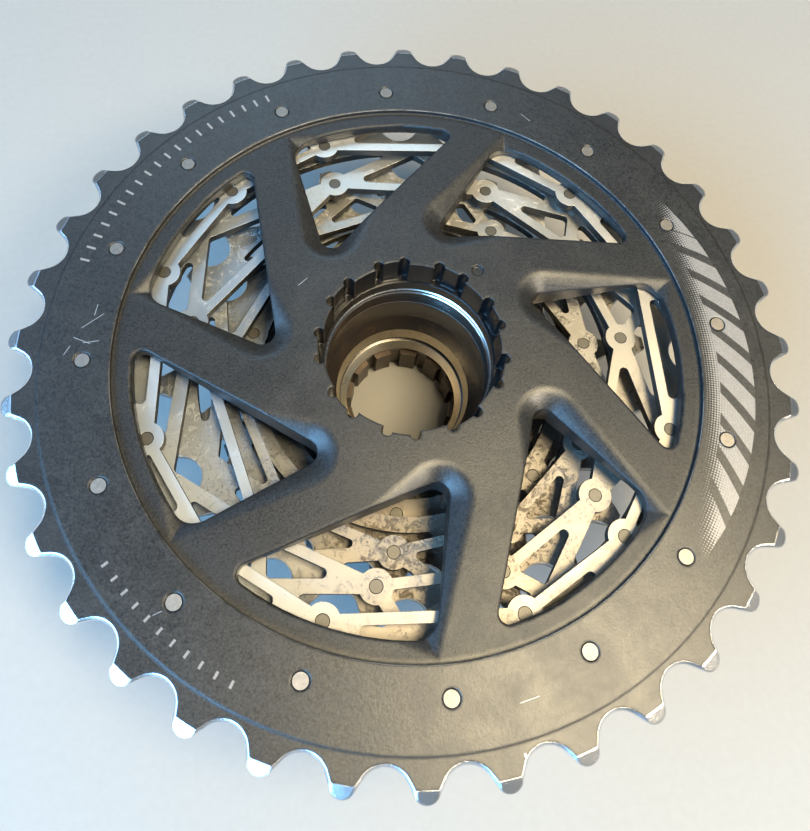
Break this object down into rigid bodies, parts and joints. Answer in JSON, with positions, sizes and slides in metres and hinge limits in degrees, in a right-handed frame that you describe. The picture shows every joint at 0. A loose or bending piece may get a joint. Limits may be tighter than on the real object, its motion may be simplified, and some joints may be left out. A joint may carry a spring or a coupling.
{
  "type": "bicycle cassette sprocket",
  "caption": "Stepped stack of toothed bicycle cogs pinned together behind a black windowed carrier cog, with a splined socket and a threaded lockring tube inside.",
  "frame": {"origin": "centre of the outboard face of the 10-tooth cog, on the axis", "axes": "+Z along the axle axis towards the inboard, large-cog side"},
  "size_m": [0.1472, 0.1472, 0.0421],
  "materials": {
    "carrier_black": "matte bead-blasted black anodised, teeth flanks bare",
    "cog_steel": "satin plated stamped steel",
    "cluster_steel": "satin machined steel",
    "pin_steel": "ground pin ends",
    "lockring_black": "gloss black anodised",
    "flange_black": "satin black anodised",
    "washer_bronze": "plain bronze",
    "ring_steel": "dark spring steel"
  },
  "bodies": {
    "cassette": {"sprocket_36": "carrier_black", "sprocket_32": "cog_steel", "sprocket_28": "cog_steel", "sprocket_24": "cog_steel", "sprocket_21": "cog_steel", "sprocket_19": "cog_steel", "sprocket_17": "cog_steel", "sprocket_15": "cog_steel", "small_cog_cluster": "cluster_steel", "pins_36_32": "pin_steel", "pins_32_28": "pin_steel", "pins_28_24": "pin_steel", "pins_24_21": "pin_steel", "pins_21_19": "pin_steel", "pins_19_17": "pin_steel", "pins_17_15": "pin_steel", "pins_15_13": "pin_steel", "thrust_washer": "washer_bronze", "retaining_ring": "ring_steel"},
    "lockring": {"lockring_tube": "lockring_black", "lockring_tool_flange": "flange_black"}
  },
  "joints": [
    {"name": "lockring_spin", "type": "hinge", "parent": "cassette", "child": "lockring", "pos_m": [0, 0, 0.02], "axis": [0, 0, 1], "continuous": true}
  ]
}
